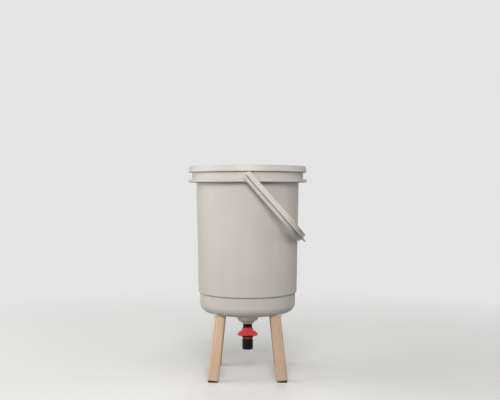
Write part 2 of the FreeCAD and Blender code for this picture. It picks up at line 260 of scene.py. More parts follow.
# Spout: a threaded tube with a notched collar and the spigot inside the outlet
SPOUT_BORE = 9.62
SPOUT_Z = 59.1
SPOUT_MOUTH = 13.1
SPOUT_MOUTH_TOP = 60.6
SPOUT_CORE = 12.5
SPOUT_CORE_Z = 61.2
SPOUT_TOP = 81.0
SPOUT_THREAD_RADIUS = 13.3
SPOUT_THREAD = (60.9, 79.9)
SPOUT_THREAD_DEPTH = 0.6
SPOUT_SEGMENTS = 128
SPIGOT_RADIUS = 8.2
SPIGOT_Z = 79.7
SPIGOT_TOP = 87.8
SPIGOT_SEGMENTS = 64
NOTCH_RADIUS = 14.4
NOTCH_DEPTH = 0.32
NOTCH_COUNT = 24
NOTCH_SEGMENTS = 144

# Rings of the notched collar: height, inset of the edge
NOTCH_RINGS = ((SPIGOT_Z, 0.55), (80.1, 0.15), (80.5, 0.0), (81.6, 0.0), (82.0, 0.15), (TAP_END, 0.5))

# Lever: a dome with two wings on a slotted hub, heights from the tap's axis, depths from the bin's axis
DOME_RADIUS = 15.5
DOME_RISE = 2.0
DOME_POINTS = 17
DOME_MARGIN = 0.09
SHOULDER_RISE = 9.2
SHOULDER_REACH = 18.4
SHOULDER_FLAT = 0.4
WING_REACH = 25.5
WING_RISE = 0.5
BAR_REACH = 19.4
BAR_RISE = -3.0
LEVER_THICKNESS = 7.5
LEVER_HUB_LENGTH = 5.0
LEVER_HUB_BACK = BARREL_FRONT + SEAT_GAP
LEVER_BACK = LEVER_HUB_BACK + LEVER_HUB_LENGTH
LEVER_FRONT = LEVER_BACK + LEVER_THICKNESS
LEVER_EASE = 0.35
LEVER_HUB_RADIUS = 12.9
LEVER_HUB_WALL = 0.5
LEVER_HUB_SLOPE = 3.4
LEVER_HUB_SEGMENTS = 96
RIM_SLACK = 0.01
HUB_SLOT_RADIUS = LEVER_HUB_RADIUS - LEVER_HUB_WALL
HUB_SLOT_HIGH = -2.4
HUB_SLOT_LOW = -8.8
HUB_SLOT_STEPS = 8

# Faces of the lever: depth, rounding of the edge, crown, and the way in which the face falls back
LEVER_FACES = ((LEVER_FRONT, 1.5, 0.5, 1), (LEVER_BACK, 0.6, 0.0, -1))
CUSHION_RINGS = (0.12, 0.35, 0.75, 1.3)
CUSHION_SLACK = 0.96
CUSHION_SPACING = 1.5
CROWN_FADE = 5.0

# Stage, in metres: colour of the surround, colour that the floor throws back, and where the floor fades
PALE = (0.78, 0.78, 0.775, 1.0)
FLOOR = (0.14, 0.14, 0.139, 1.0)
FLOOR_ROUGHNESS = 0.8
FLOOR_RADIUS = 14
FLOOR_SEGMENTS = 96
FLOOR_FADE = (0.35, 1.5)
AMBIENT = (1.0, 0.99, 0.97, 1.0)
AMBIENT_STRENGTH = 0.16

# Camera: a level view fitted to the photograph, in pixels of a 500 by 400 image, and placed in metres
IMAGE_WIDTH = 500
IMAGE_HEIGHT = 400
FOCAL_PIXELS = 707
AXIS_COLUMN = 247.6
HORIZON_ROW = 191
CAMERA_PLACE = (0, -1.740, 0.447)
SENSOR_WIDTH = 36.0
CLIP_END = 60


# Mesh helpers


def outline(corners, closed=True, turn=9.0, steps=None):
    """Points of a line through (a, b, rounding) corners, each rounding drawn as a fine arc."""
    points = []
    count = len(corners)
    for index, (a, b, rounding) in enumerate(corners):
        here = Vector((a, b))
        loose = not closed and index in (0, count - 1)
        if rounding <= 0 or loose:
            points.append(here)
            continue
        back = (Vector(corners[index - 1][:2]) - here).normalized()
        ahead = (Vector(corners[(index + 1) % count][:2]) - here).normalized()
        half = back.angle(ahead) / 2
        reach = rounding / math.tan(half)
        centre = here + (back + ahead).normalized() * (rounding / math.sin(half))
        first = here + back * reach - centre
        last = here + ahead * reach - centre
        sweep = math.copysign(math.pi - 2 * half, first.x * last.y - first.y * last.x)
        pieces = steps or max(2, math.ceil(math.degrees(abs(sweep)) / turn))
        for step in range(pieces + 1):
            points.append(centre + Matrix.Rotation(sweep * step / pieces, 2) @ first)
    return points


def lofted(rings, capped=False, loop=False):
    """Vertices and faces of a skin through closed rings of points with equal counts."""
    count = len(rings[0])
    verts = [tuple(p) for ring in rings for p in ring]
    faces = []
    spans = len(rings) if loop else len(rings) - 1
    for index in range(spans):
        low = index * count
        high = ((index + 1) % len(rings)) * count
        for i in range(count):
            j = (i + 1) % count
            faces.append((low + i, low + j, high + j, high + i))
    if capped:
        faces.append(tuple(range(count)))
        faces.append(tuple(range(len(verts) - count, len(verts))))
    return verts, faces


def ring_about(radii, z):
    """Ring of points about the Z axis, one for each radius."""
    count = len(radii)
    angles = [FULL_TURN * i / count for i in range(count)]
    return [(r * math.cos(a), r * math.sin(a), z) for r, a in zip(radii, angles)]


def circle(radius, count):
    return [Vector(p[:2]) for p in ring_about([radius] * count, 0)]


def revolved(points, segments):
    """Vertices and faces of a closed line of (radius, height) points turned about the Z axis."""
    return lofted([ring_about([r] * segments, z) for r, z in points], loop=True)


def moved(shell, matrix):
    verts, faces = shell
    return [tuple(matrix @ Vector(v)) for v in verts], faces


def threaded(radius, depth, ends, segments):
    """Outside of a thread whose ridge runs out at both ends."""
    low, high = ends
    rows = int((high - low) / THREAD_PITCH * THREAD_ROWS)
    runout = THREAD_RUNOUT * THREAD_PITCH
    rings = []
    for row in range(rows + 1):
        z = low + (high - low) * row / rows
        fade = min(1.0, (z - low) / runout, (high - z) / runout)
        radii = []
        for i in range(segments):
            phase = (z / THREAD_PITCH - i / segments) % 1
            ridge = min(1.0, max(0.0, RIDGE_SLOPE * (1 - abs(2 * phase - 1)) - RIDGE_CUT))
            radii.append(radius - depth + depth * ridge * fade)
        rings.append(ring_about(radii, z))
    return lofted(rings)


def triangulated(points, loops, kind, tolerance):
    """Points and triangles of the flat area that closed loops of points bound."""
    edges = []
    base = 0
    for loop in loops:
        edges += [(base + i, base + (i + 1) % len(loop)) for i in range(len(loop))]
        base += len(loop)
    flat, _, triangles, _, _, _ = delaunay_2d_cdt(points, edges, [], kind, tolerance)
    return flat, triangles


def pierced(loops, open_at, low, high):
    """Flat slab between two heights, bounded by closed loops and left open where a test says so."""
    points = [p for loop in loops for p in loop]
    flat, triangles = triangulated(points, loops, HULL_TRIANGLES, PLATE_TOLERANCE)
    kept = [t for t in triangles if not open_at((flat[t[0]] + flat[t[1]] + flat[t[2]]) / 3)]
    verts = [(p.x, p.y, high) for p in flat] + [(p.x, p.y, low) for p in flat]
    faces = [tuple(t) for t in kept] + [tuple(len(flat) + i for i in reversed(t)) for t in kept]
    ways = {(t[i - 1], t[i]) for t in kept for i in range(3)}
    for first, second in ways:
        if (second, first) not in ways:
            faces.append((second, first, first + len(flat), second + len(flat)))
    return verts, faces


def joined(shells):
    """Vertices in metres and faces of several shells put together."""
    verts = []
    faces = []
    for shell_verts, shell_faces in shells:
        base = len(verts)
        verts += [tuple(c * MM for c in v) for v in shell_verts]
        faces += [tuple(base + i for i in face) for face in shell_faces]
    return verts, faces


def add_grain(mesh, coords, tone):
    """Coordinates in metres that the wood's figure follows, and how light or dark the leg is drawn."""
    grain = mesh.attributes.new("grain", "FLOAT_VECTOR", "POINT")
    grain.data.foreach_set("vector", [c for v in coords for c in v])
    board = mesh.attributes.new("board", "FLOAT", "POINT")
    board.data.foreach_set("value", [tone] * len(mesh.vertices))


def clean(mesh):
    """Merges double points, turns the faces outward and shades them smooth between sharp edges."""
    work = bmesh.new()
    work.from_mesh(mesh)
    bmesh.ops.remove_doubles(work, verts=work.verts, dist=MERGE)
    bmesh.ops.recalc_face_normals(work, faces=work.faces)
    work.to_mesh(mesh)
    work.free()
    mesh.polygons.foreach_set("use_smooth", [True] * len(mesh.polygons))
    mesh.set_sharp_from_angle(angle=SHARP_EDGE)


def soften(obj, width):
    """Bevel in millimetres along the sharp edges."""
    eased = obj.modifiers.new("eased", "BEVEL")
    eased.width = width * MM
    eased.segments = BEVEL_STEPS
    eased.limit_method = "ANGLE"
    eased.angle_limit = SHARP_EDGE


def piece(name, shells, material, body, replaces, bevel=0.0, grain=None):
    """One mesh object made of shells in millimetres, which rides on a body and stands for nodes."""
    verts, faces = joined(shells)
    mesh = bpy.data.meshes.new(name)
    mesh.from_pydata(verts, [], faces)
    if grain:
        add_grain(mesh, *grain)
    clean(mesh)
    mesh.materials.append(material)
    obj = bpy.data.objects.new(name, mesh)
    bpy.context.scene.collection.objects.link(obj)
    if bevel:
        soften(obj, bevel)
    normals = obj.modifiers.new("normals", "WEIGHTED_NORMAL")
    normals.keep_sharp = True
    normals.weight = NORMAL_WEIGHT
    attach(obj, body)
    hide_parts(*replaces)


# Material helpers


class Nodes:
    """A node tree, with short calls to add and link its nodes."""

    def __init__(self, tree):
        self.tree = tree

    def node(self, kind, inputs=None, **settings):
        made = self.tree.nodes.new(kind)
        for key, value in settings.items():
            setattr(made, key, value)
        for key, value in (inputs or {}).items():
            self.put(made.inputs[key], value)
        return made

    def put(self, socket, value):
        """Links an output to a socket, or sets the socket to a constant."""
        if isinstance(value, bpy.types.NodeSocket):
            self.tree.links.new(value, socket)
        else:
            socket.default_value = value

    def math(self, operation, first, second):
        return self.node("ShaderNodeMath", {0: first, 1: second}, operation=operation).outputs[0]

    def seen(self):
        """1 where the camera looks, straight, in a reflection or through a clear surface, and else 0."""
        ray = self.node("ShaderNodeLightPath").outputs
        bent = self.math("MAXIMUM", ray["Is Glossy Ray"], ray["Is Transmission Ray"])
        return self.math("MAXIMUM", ray["Is Camera Ray"], bent)

    def choose(self, factor, first, second):
        """One of two shaders, or a blend of them."""
        return self.node("ShaderNodeMixShader", {0: factor, 1: first, 2: second}).outputs[0]


class Shader(Nodes):
    """A material with a Principled BSDF, and calls for the textures that its finish needs."""

    def __init__(self, name):
        self.material = bpy.data.materials.new(name)
        self.material.use_nodes = True
        super().__init__(self.material.node_tree)
        self.surface = self.tree.nodes["Principled BSDF"]

    def set(self, **values):
        for key, value in values.items():
            self.put(self.surface.inputs[key.replace("_", " ")], value)

    def place(self, scale, attribute=None):
        """Coordinates in metres, of the object or of a mesh attribute, stretched by a scale per axis."""
        if attribute:
            start = self.node("ShaderNodeAttribute", attribute_name=attribute).outputs["Vector"]
        else:
            start = self.node("ShaderNodeTexCoord").outputs["Object"]
        return self.node("ShaderNodeMapping", {"Vector": start, "Scale": scale}).outputs["Vector"]

    def noise(self, where, scale=1.0, detail=3.0, rough=0.5, warp=0.0):
        inputs = {"Vector": where, "Scale": scale, "Detail": detail, "Roughness": rough, "Distortion": warp}
        return self.node("ShaderNodeTexNoise", inputs).outputs["Fac"]

    def span(self, value, old, new):
        """A value moved from one range to another and kept within it."""
        inputs = {"Value": value, "From Min": old[0], "From Max": old[1], "To Min": new[0], "To Max": new[1]}
        return self.node("ShaderNodeMapRange", inputs).outputs["Result"]

    def mix(self, factor, first, second):
        return self.node("ShaderNodeMix", {0: factor, 6: first, 7: second}, data_type="RGBA").outputs[2]

    def bump(self, height, strength, distance, normal=None):
        inputs = {"Height": height, "Strength": strength, "Distance": distance}
        if normal:
            inputs["Normal"] = normal
        return self.node("ShaderNodeBump", inputs).outputs["Normal"]


def colour(r, g, b):
    """Colour given in sRGB steps of 255, as the linear value that a shader takes."""
    def linear(c):
        c /= 255
        return c / 12.92 if c <= 0.04045 else ((c + 0.055) / 1.055) ** 2.4
    return (linear(r), linear(g), linear(b), 1.0)


def moulded(name, light, dark, roughness, grain=0.06, streak=0.35, soft=0.0, coat=0.0, shine=0.5):
    """Moulded plastic: cloudy tone, faint flow lines, fine spark grain and uneven gloss."""
    s = Shader(name)
    where = s.place((1, 1, 1))
    cloud = s.noise(where, scale=9.0, detail=4.0, rough=0.55)
    flow = s.noise(s.place((70, 70, 5)), rough=0.6, warp=0.4)
    speck = s.noise(where, scale=650.0, detail=2.0, rough=0.6)
    tone = s.math("ADD", s.math("MULTIPLY", cloud, 1 - streak), s.math("MULTIPLY", flow, streak))
    base = s.mix(s.span(tone, (0.32, 0.68), (0.0, 1.0)), light, dark)
    s.set(Base_Color=s.mix(s.span(speck, (0.55, 0.85), (0.0, 0.22)), base, dark))
    wear = s.noise(where, scale=28.0, detail=5.0, rough=0.65)
    s.set(Roughness=s.span(wear, (0.3, 0.7), (roughness - 0.06, roughness + 0.06)))
    wave = s.bump(s.noise(where, scale=22.0, detail=2.0), strength=0.08, distance=0.0012)
    pits = s.noise(where, scale=1900.0, detail=2.0, rough=0.6)
    s.set(Normal=s.bump(pits, strength=grain, distance=0.0004, normal=wave))
    s.set(IOR=1.49, Specular_IOR_Level=shine)
    if soft:
        s.set(Subsurface_Weight=soft, Subsurface_Radius=(1.0, 0.8, 0.6), Subsurface_Scale=0.0025)
    if coat:
        s.set(Coat_Weight=coat, Coat_Roughness=0.18)
    return s.material


def beech():
    """Light beech: year bands and fibres along the leg, short dark ray flecks, open pores."""
    s = Shader("beech")
    drift = s.noise(s.place((14, 14, 2.2), attribute="grain"), warp=0.6)
    bands = s.node("ShaderNodeTexWave", {
        "Vector": s.place((1, 1, 0.045), attribute="grain"),
        "Scale": 62.0,
        "Distortion": 5.5,
        "Detail": 2.5,
        "Detail Scale": 1.1,
        "Detail Roughness": 0.55,
    }, wave_type="BANDS", bands_direction="X").outputs["Fac"]
    fibre = s.noise(s.place((560, 560, 15), attribute="grain"), rough=0.6)
    fleck = s.noise(s.place((1300, 700, 150), attribute="grain"), detail=1.0)
    pores = s.noise(s.place((2600, 2600, 120), attribute="grain"), detail=2.0)
    board = s.node("ShaderNodeAttribute", attribute_name="board").outputs["Fac"]
    light = s.mix(board, colour(243, 214, 187), colour(211, 182, 154))
    deep = s.mix(board, colour(224, 190, 159), colour(193, 160, 130))
    warm = s.mix(s.span(drift, (0.3, 0.7), (0.0, 1.0)), light, deep)
    banded = s.mix(s.span(bands, (0.3, 1.0), (0.0, 0.42)), warm, colour(192, 156, 124))
    fibred = s.mix(s.span(fibre, (0.45, 0.75), (0.0, 0.36)), banded, colour(172, 136, 104))
    flecked = s.mix(s.span(fleck, (0.66, 0.74), (0.0, 0.45)), fibred, colour(142, 104, 76))
    s.set(Base_Color=flecked)
    s.set(Roughness=s.span(fibre, (0.3, 0.7), (0.46, 0.62)))
    holes = s.span(pores, (0.62, 0.75), (0.0, 0.8))
    height = s.math("SUBTRACT", s.math("MULTIPLY", fibre, 0.5), holes)
    s.set(Normal=s.bump(height, strength=0.16, distance=0.0003))
    s.set(IOR=1.45)
    return s.material


def rubber():
    """Matt black rubber with a dusty bloom and a pebbled skin."""
    s = Shader("rubber")
    where = s.place((1, 1, 1))
    bloom = s.noise(where, scale=45.0, detail=5.0, rough=0.65)
    dusty = s.span(bloom, (0.35, 0.75), (0.0, 1.0))
    s.set(Base_Color=s.mix(dusty, colour(26, 26, 27), colour(48, 47, 46)))
    s.set(Roughness=s.span(bloom, (0.3, 0.7), (0.68, 0.86)))
    pebbles = s.noise(where, scale=1300.0, rough=0.6)
    s.set(Normal=s.bump(pebbles, strength=0.2, distance=0.0003))
    return s.material


def metal(name, light, dark, roughness, along):
    """Machined metal: fine turning lines, a slight tarnish and uneven gloss."""
    s = Shader(name)
    lines = s.noise(s.place(along), rough=0.6)
    tarnish = s.noise(s.place((1, 1, 1)), scale=70.0, detail=4.0, rough=0.6)
    s.set(Base_Color=s.mix(s.span(tarnish, (0.35, 0.75), (0.0, 1.0)), light, dark))
    s.set(Metallic=1.0)
    s.set(Roughness=s.span(lines, (0.3, 0.7), (roughness - 0.08, roughness + 0.1)))
    s.set(Normal=s.bump(lines, strength=0.12, distance=0.0002))
    return s.material


BUCKET = moulded("bucket_plastic", colour(205, 201, 193), colour(199, 194, 185), 0.47, soft=0.06)
HANDLE = moulded("handle_plastic", colour(206, 202, 194), colour(199, 194, 185), 0.48,
                 grain=0.05, soft=0.05)
# Sump: white plastic drawn lighter and pinker than it is, which is painted light and a painted red
# reflection of the lever on its lower side
SUMP_PLASTIC_AND_RED_BOUNCE = moulded("sump_plastic_and_red_bounce", colour(248, 238, 230), colour(241, 230, 221), 0.44, soft=0.06)
STRAINER = moulded("strainer_plastic", colour(192, 188, 180), colour(182, 177, 168), 0.5, soft=0.05)
BLACK = moulded("tap_black", colour(12, 12, 13), colour(20, 20, 21), 0.36,
                grain=0.14, streak=0.2, shine=0.2)
RED = moulded("lever_red", colour(252, 66, 56), colour(242, 54, 46), 0.34,
              grain=0.1, streak=0.15, soft=0.05, coat=0.15)
WHITE = moulded("plug_white", colour(226, 225, 219), colour(214, 212, 204), 0.38, soft=0.1)
BEECH = beech()
RUBBER = rubber()
STEEL = metal("steel", colour(176, 177, 180), colour(140, 141, 144), 0.3, along=(40, 40, 2600))
BRASS = metal("brass", colour(206, 172, 104), colour(168, 134, 78), 0.34, along=(60, 60, 2200))


# Bucket, turned with every edge softened as a moulding has it


def wall_radius(z):
    return WAIST_RADIUS + WALL_FLARE / CHAMBER_HEIGHT * (z - STEP_Z)


def make_bucket():
    step_top = STEP_Z + STEP_CHAMFER
    band_inside = BAND_RADIUS - WALL
    lip_inside = LIP_RADIUS - WALL
    lip_under = BAND_Z - WALL
    flange_top = LIP_RADIUS - FLANGE_FLARE
    rim_under = RIM_Z - WALL
    section = outline([
        (BOWL_INSIDE, STEP_Z, 0.4),
        (wall_radius(STEP_Z) - STEP_CHAMFER, STEP_Z, 0.3),
        (wall_radius(step_top), step_top, 0.6),
        (wall_radius(rim_under), rim_under, 1.2),
        (band_inside, rim_under, 1.2),
        (band_inside, lip_under, 1.0),
        (lip_inside, lip_under, 0.8),
        (lip_inside, LIP_Z, 0.5),
        (LIP_RADIUS, LIP_Z, 0.7),
        (LIP_RADIUS, BAND_Z, 0.8),
        (BAND_RADIUS, BAND_Z, 0.8),
        (BAND_RADIUS, rim_under, 0.8),
        (flange_top - WALL, rim_under, 0.8),
        (lip_inside, FLANGE_Z, 0.5),
        (LIP_RADIUS, FLANGE_Z, 0.7),
        (flange_top, RIM_Z, 1.3),
        (wall_radius(RIM_Z) - WALL, RIM_Z, 1.6),
        (wall_radius(LEDGE_Z) - WALL, LEDGE_Z, 0.8),
        (BOWL_INSIDE, LEDGE_Z, 0.5),
    ])
    shell = revolved(section, BUCKET_SEGMENTS)
    piece("bucket_body", [shell], BUCKET, "bin", ["bucket"])


# Bowl with a pad over each leg, and the sump boss under its middle

BOWL_UNDER = [
    (SUMP_HOLE, BOWL_Z - FLOOR_FALL, 0.4),
    (BOWL_RADIUS, BOWL_Z, BOWL_CORNER),
    (BOWL_RADIUS, SEAM_Z, 0.7),
]
BOWL_LINE = outline(BOWL_UNDER, closed=False, turn=2.0)
BOWL_SKIN = [p for p in BOWL_LINE if p.x > SKIN_START and p.y < SEAM_Z]


def bowl_height(radius):
    """Height of the bowl's outer skin over a radius."""
    for inner, outer in zip(BOWL_SKIN, BOWL_SKIN[1:]):
        if inner.x <= radius <= outer.x and outer.x > inner.x:
            share = (radius - inner.x) / (outer.x - inner.x)
            return inner.y + share * (outer.y - inner.y)
    return BOWL_SKIN[-1].y


def leg_frames():
    """Name, placement of the top and upward direction of each leg."""
    for end, y in (("front", -1), ("back", 1)):
        for side, x in (("left", -1), ("right", 1)):
            lean = Vector((-x * LEG_SLOPE, -y * LEG_SLOPE, 1)).normalized()
            turn = UP.rotation_difference(lean).to_matrix().to_4x4()
            seat = Vector((x * LEG_OFFSET, y * LEG_OFFSET, LEG_SEAT_Z))
            yield f"{end}_{side}", Matrix.Translation(seat) @ turn, lean


def leg_square(growth, rounding):
    """Rounded square about a leg's axis, larger than the leg by a growth on each side."""
    half = LEG_WIDTH / 2 + growth
    return outline([(a * half, b * half, rounding) for a, b in ((-1, -1), (1, -1), (1, 1), (-1, 1))])


def room_to_bowl(point, lean):
    """Distance along a leg from a point to the bowl's outer skin."""
    low = 0.0
    high = PAD_SEARCH
    for _ in range(PAD_HALVINGS):
        middle = (low + high) / 2
        here = point + lean * middle
        if here.z < bowl_height(math.hypot(here.x, here.y)):
            low = middle
        else:
            high = middle
    return high


def leg_pad(matrix, lean):
    """Pad that the bowl grows over each leg, flaring into the skin."""
    rings = []
    for growth, rounding, rise in PAD_FOOT:
        rings.append([matrix @ Vector((p.x, p.y, rise)) for p in leg_square(growth, rounding)])
    deepest = PAD_SKIRT[0][2]
    for growth, rounding, drop in PAD_SKIRT:
        least = PAD_LEAST + PAD_SPREAD * (deepest - drop)
        ring = []
        for p in leg_square(growth, rounding):
            start = matrix @ Vector((p.x, p.y, 0))
            ring.append(start + lean * max(least, room_to_bowl(start, lean) - drop))
        rings.append(ring)
    return lofted(rings, capped=True)


def make_bowl():
    section = outline(BOWL_UNDER + [
        (BOWL_RADIUS - SEAM_DEPTH, SEAM_Z, 0.4),
        (BOWL_RADIUS - SEAM_DEPTH, STEP_Z, 0.3),
        (BOWL_INSIDE, STEP_Z, 0.3),
        (BOWL_INSIDE, BOWL_Z + WALL, BOWL_CORNER - WALL),
        (SUMP_HOLE, FLOOR_TOP, 0.4),
    ], turn=6.0)
    shells = [revolved(section, BUCKET_SEGMENTS)]
    shells += [leg_pad(matrix, lean) for _, matrix, lean in leg_frames()]
    piece("bowl_body", shells, BUCKET, "bin", ["bowl"])


def make_sump():
    section = outline([
        (SOCKET_RADIUS, COLLAR_Z, 0.4),
        (COLLAR_RADIUS, COLLAR_Z, 0.8),
        (COLLAR_RADIUS, COLLAR_TOP, 0.5),
        (COLLAR_GROOVE, COLLAR_TOP, 0.2),
        (COLLAR_GROOVE, SUMP_Z, 0.2),
        (SUMP_LAND, SUMP_Z, 0.4),
        (SUMP_RADIUS, SUMP_EDGE_Z, SUMP_CORNER),
        (SUMP_RADIUS, SUMP_SHOULDER_Z, 0.8),
        (SUMP_PLUG, SUMP_SHOULDER_Z, 0.1),
        (SUMP_PLUG, FLOOR_TOP, 0.4),
        (FUNNEL_RADIUS, FUNNEL_TOP, 3.0),
        (DRAIN_RADIUS, FUNNEL_FOOT, 0.6),
        (DRAIN_RADIUS, SOCKET_TOP, 0.3),
        (SOCKET_RADIUS, SOCKET_TOP, 0.4),
    ], turn=6.0)
    piece("sump_boss", [revolved(section, SUMP_SEGMENTS)], SUMP_PLASTIC_AND_RED_BOUNCE, "bin", ["bowl"])


# Legs with softened arrises, and the rubber wedges that level them


def make_leg(index, name, matrix):
    shift = BOARD_START + BOARD_SHIFT * index
    rings = []
    coords = []
    for growth, rounding, z in LEG_RINGS:
        flat = [Vector((p.x, p.y, z)) for p in leg_square(growth, rounding)]
        rings.append([matrix @ p for p in flat])
        coords += [p * MM + shift for p in flat]
    shell = lofted(rings, capped=True)
    grain = (coords, LEG_TONES[index])
    piece(f"beech_leg_{name}", [shell], BEECH, "bin", [f"leg_{name}"], grain=grain)


def make_foot(name, matrix, lean):
    rings = []
    for growth, rounding, share in FOOT_RINGS:
        ring = []
        for p in leg_square(growth, rounding):
            top = matrix @ Vector((p.x, p.y, -LEG_LENGTH))
            bottom = top - lean * (top.z / lean.z)
            ring.append(top + (bottom - top) * share)
        rings.append(ring)
    shell = lofted(rings, capped=True)
    piece(f"rubber_foot_{name}", [shell], RUBBER, "bin", [f"foot_pad_{name}"])


def make_legs():
    for index, (name, matrix, lean) in enumerate(leg_frames()):
        make_leg(index, name, matrix)
        make_foot(name, matrix, lean)


# Bail: a T-section strap swept round the U, with a pivot hub at each end


def bail_stations():
    """Stations along the bail's inner face: a point, the outward direction and the fin's height."""
    across = BAIL_HALF - BAIL_CORNER
    along = math.sqrt((BAIL_CROWN - BAIL_CORNER) ** 2 - across**2)
    crown_centre = Vector((BAIL_REACH - BAIL_CROWN, 0))
    corner_centre = Vector((BAIL_REACH - BAIL_CROWN + along, across))
    lean = math.atan2(across, along)
    line = []
    for x in ARM_STATIONS:
        line.append((Vector((x - BAIL_TAIL, BAIL_HALF)), Vector((0, 1)), FIN_ROOT))
    for step in range(BAIL_BEND_STEPS + 1):
        share = step / BAIL_BEND_STEPS
        angle = math.pi / 2 + (lean - math.pi / 2) * share
        out = Vector((math.cos(angle), math.sin(angle)))
        growth = 0.5 - 0.5 * math.cos(math.pi * share)
        line.append((corner_centre + BAIL_CORNER * out, out, FIN_ROOT + (FIN_CROWN - FIN_ROOT) * growth))
    for step in range(1, BAIL_BEND_STEPS + 1):
        angle = lean * (1 - step / BAIL_BEND_STEPS)
        out = Vector((math.cos(angle), math.sin(angle)))
        line.append((crown_centre + BAIL_CROWN * out, out, FIN_CROWN))
    back = [(Vector((p.x, -p.y)), Vector((out.x, -out.y)), fin) for p, out, fin in reversed(line[:-1])]
    return line + back


def bail_section(fin, half):
    """Outline across the strap, whose roundings and groove shrink where the fin runs out."""
    crest = STRAP + max(fin, FIN_LEAST)
    tip = min(FIN_TIP, fin / 3 + FIN_TIP_LEAST)
    edge = min(STRAP_EDGE, half / 4)
    sunk = STRAP - min(GROOVE_DEPTH, GROOVE_SHARE * fin)
    thin = STRAP - STRAP_FALL
    groove = -FIN_HALF - GROOVE_WIDTH
    return outline([
        (0, -half, edge),
        (0, half, edge),
        (thin, half, edge),
        (STRAP, FIN_HALF, tip),
        (crest, FIN_HALF, tip),
        (crest, -FIN_HALF, tip),
        (sunk, -FIN_HALF, 0.2),
        (sunk, groove, 0.2),
        (STRAP, groove - GROOVE_SLANT, 0.25),
        (thin, -half, edge),
    ], steps=4)


def bail_strap():
    rings = []
    for near, out, height in bail_stations():
        from_end = near.x + BAIL_TAIL
        half = BAIL_WIDTH / 2
        if from_end < BAIL_END:
            half += math.sqrt(max(0.0, BAIL_END**2 - (BAIL_END - from_end) ** 2)) - BAIL_END
        fin = height * min(1.0, max(0.0, (from_end - FIN_START) / FIN_RAMP))
        ring = []
        for p in bail_section(fin, half):
            flat = near + out * p.x
            ring.append(Vector((flat.x, flat.y, p.y)))
        rings.append(ring)
    return lofted(rings, capped=True)


def make_bail():
    hub = revolved(outline([
        (ON_AXIS, STUD_TIP, 0),
        (STUD_RADIUS, STUD_TIP, 0.2),
        (STUD_RADIUS, HUB_TIP, 0),
        (HUB_RADIUS, HUB_TIP, 0.5),
        (HUB_RADIUS, HUB_NECK, 0),
        (HUB_FLARE_RADIUS, HUB_FLARE, 0.3),
        (ON_AXIS, HUB_END, 0),
    ]), HUB_SEGMENTS)
    shells = [bail_strap(), moved(hub, TO_FRONT), moved(hub, TO_BACK)]
    place = Matrix.Translation((0, 0, JOINT_Z["bail_swing"])) @ Matrix.Rotation(BAIL_REST, 4, "Y")
    placed = [moved(shell, place) for shell in shells]
    piece("bail_strap", placed, HANDLE, "bail", ["bail_handle"])


# Strainer: slotted plate with a skirt, a boss and ribs below


def slot_outline(near, far, angle):
    turn = Matrix.Rotation(angle, 2)
    corners = ((near, -SLOT_HALF), (far, -SLOT_HALF), (far, SLOT_HALF), (near, SLOT_HALF))
    return [turn @ p for p in outline([(a, b, SLOT_ROUNDING) for a, b in corners], turn=30.0)]


def strainer_plate():
    """Round plate with rings of slots, more of them in each ring outward."""
    slots = []
    pitch = (SKIRT_INSIDE - SLOT_START) / SLOT_RINGS
    for index in range(SLOT_RINGS):
        count = RIB_COUNT * (index + 2)
        near = SLOT_START + index * pitch
        for turn in range(count):
            slots.append((near, near + pitch - SLOT_BRIDGE, (turn + 0.5) * FULL_TURN / count))

    def open_at(p):
        for near, far, angle in slots:
            q = Matrix.Rotation(-angle, 2) @ p
            if near < q.x < far and abs(q.y) < SLOT_HALF:
                return True
        return p.length > STRAINER_RADIUS

    loops = [circle(STRAINER_RADIUS, STRAINER_SEGMENTS)] + [slot_outline(*slot) for slot in slots]
    return pierced(loops, open_at, STRAINER_Z, STRAINER_TOP)


def strainer_rib(angle):
    turn = Matrix.Rotation(angle, 2)
    corners = ((RIB_START, -RIB_HALF), (RIB_END, -RIB_HALF), (RIB_END, RIB_HALF), (RIB_START, RIB_HALF))
    foot = [turn @ Vector(corner) for corner in corners]
    return lofted([[(p.x, p.y, z) for p in foot] for z in (RIB_Z, RIB_TOP)], capped=True)


def make_strainer():
    skirt = revolved(outline([
        (SKIRT_INSIDE, RIB_Z, 0.3),
        (SKIRT_RADIUS, RIB_Z, 0.3),
        (SKIRT_RADIUS, RIB_TOP, 0),
        (SKIRT_INSIDE, RIB_TOP, 0),
    ]), STRAINER_SEGMENTS)
    boss = revolved(outline([
        (ON_AXIS, RIB_Z, 0),
        (MIDDLE_BOSS, RIB_Z, 0.6),
        (MIDDLE_BOSS, RIB_TOP, 0),
        (ON_AXIS, RIB_TOP, 0),
    ]), MIDDLE_SEGMENTS)
    ribs = [strainer_rib(FULL_TURN * index / RIB_COUNT) for index in range(RIB_COUNT)]
    shells = [strainer_plate(), skirt, boss] + ribs
    piece("strainer_disc", shells, STRAINER, "strainer", ["drain_strainer"],
          bevel=STRAINER_EASE)


# Tap: threaded tail and outlet with the barrel across them, and the threaded spout


